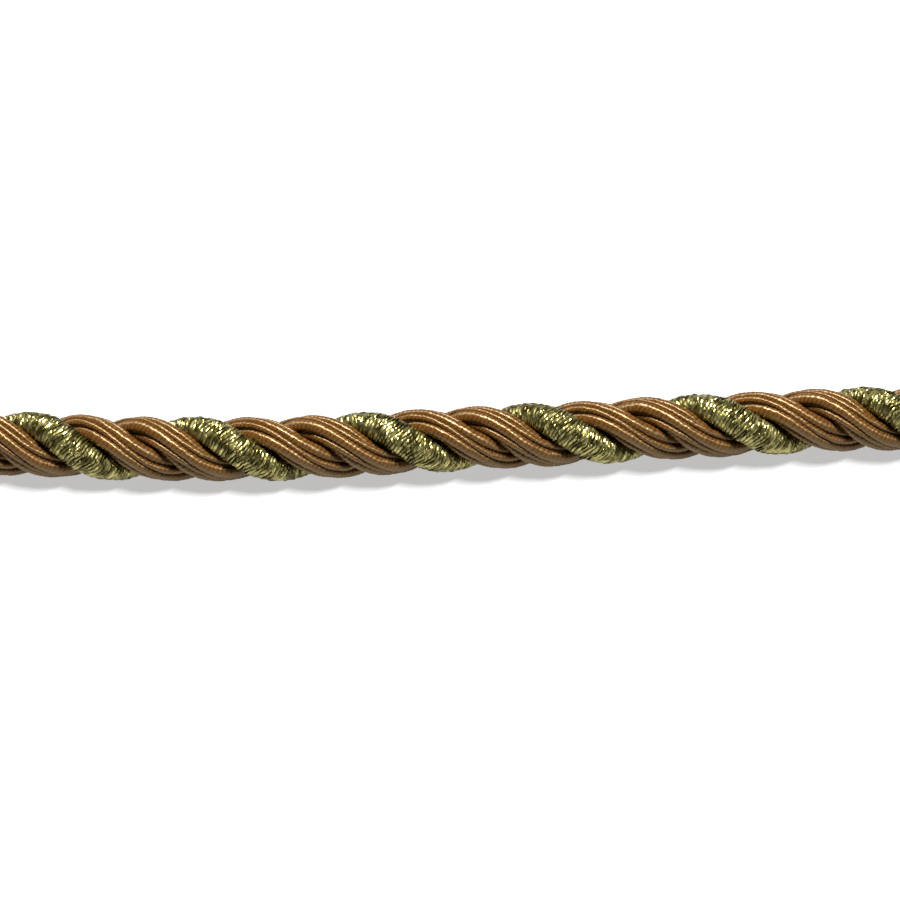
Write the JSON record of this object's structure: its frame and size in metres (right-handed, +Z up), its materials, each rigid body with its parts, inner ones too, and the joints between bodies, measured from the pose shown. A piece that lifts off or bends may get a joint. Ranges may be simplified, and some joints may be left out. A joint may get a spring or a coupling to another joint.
{
  "type": "twisted decorative cord",
  "caption": "Cut length of twisted decorative cord: bronze satin strands and a metallic strand laid round each other, lying in a slight bend.",
  "frame": {"origin": "on the surface, under the middle of the cord's bounding box", "axes": "+X along the cord, +Z up from the surface, +Y to the far side as pictured"},
  "size_m": [0.12, 0.0116, 0.0067],
  "materials": {
    "metallic_thread": "green-gold metallic thread, glittering",
    "bronze_satin": "bronze satin gimp, glossy"
  },
  "bodies": {
    "root": {"metallic_strand": "metallic_thread", "satin_strand_a": "bronze_satin", "satin_strand_b": "bronze_satin"}
  },
  "joints": []
}
